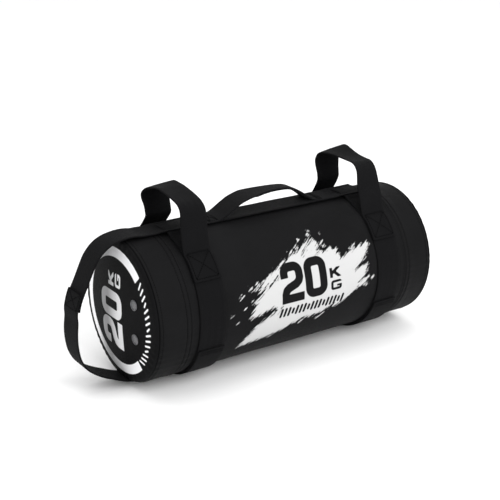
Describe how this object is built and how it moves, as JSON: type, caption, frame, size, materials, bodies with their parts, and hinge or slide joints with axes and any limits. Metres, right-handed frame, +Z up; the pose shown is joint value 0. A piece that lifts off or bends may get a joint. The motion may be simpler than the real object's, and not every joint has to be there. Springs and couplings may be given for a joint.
{
  "type": "weighted training bag",
  "caption": "Soft cylindrical weighted training bag lying on its side, with webbing bands, standing cross loops, a folded top handle and a carrying loop round one domed end.",
  "frame": {"origin": "on the floor under the middle of the object's box, which takes in the end loop", "axes": "+X along the tube, away from the end loop; +Y towards the back, the printed side facing -Y; +Z up, towards the handles"},
  "size_m": [0.5978, 0.2248, 0.287],
  "materials": {
    "cover": "satin",
    "webbing": "matte",
    "seam_tape": "matte",
    "eyelet": "satin",
    "vent_screen": "satin",
    "foam": "matte",
    "sack": "matte",
    "filling": "matte"
  },
  "bodies": {
    "bag": {"tube_panel": "cover", "left_collar": "cover", "right_collar": "cover", "left_end_disc": "cover", "right_end_disc": "cover", "left_seam_binding": "seam_tape", "right_seam_binding": "seam_tape", "tube_seam_tape": "seam_tape", "left_vent_eyelets": "eyelet", "right_vent_eyelets": "eyelet", "left_vent_screens": "vent_screen", "right_vent_screens": "vent_screen", "left_vent_washers": "eyelet", "right_vent_washers": "eyelet", "foam_wrap": "foam", "left_foam_pad": "foam", "right_foam_pad": "foam", "liner_sack": "sack", "pod_1": "filling", "pod_2": "filling", "pod_3": "filling", "pod_4": "filling", "top_strap": "webbing", "bottom_strap": "webbing", "left_band": "webbing", "right_band": "webbing", "left_band_doubling": "webbing", "right_band_doubling": "webbing", "left_loop_front_foot": "webbing", "left_loop_back_foot": "webbing", "right_loop_front_foot": "webbing", "right_loop_back_foot": "webbing", "handle_left_foot": "webbing", "handle_right_foot": "webbing"},
    "left_loop": {"left_loop_webbing": "webbing"},
    "right_loop": {"right_loop_webbing": "webbing"},
    "centre_handle": {"handle_grip": "webbing"},
    "end_loop": {"end_loop_upper_strap": "webbing", "end_loop_lower_strap": "webbing"}
  },
  "joints": [
    {"name": "left_loop_fold", "type": "hinge", "parent": "bag", "child": "left_loop", "pos_m": [-0.12611, 0, 0.23837], "axis": [0, 1, 0], "range_deg": [-40, 40]},
    {"name": "right_loop_fold", "type": "hinge", "parent": "bag", "child": "right_loop", "pos_m": [0.19989, 0, 0.23837], "axis": [0, 1, 0], "range_deg": [-40, 40]},
    {"name": "centre_handle_flop", "type": "hinge", "parent": "bag", "child": "centre_handle", "pos_m": [0.03189, 0, 0.235], "axis": [1, 0, 0], "range_deg": [-55, 55]},
    {"name": "end_loop_swing", "type": "hinge", "parent": "bag", "child": "end_loop", "pos_m": [-0.17211, 0, 0.1156], "axis": [0, 0, 1], "range_deg": [-35, 35]}
  ]
}
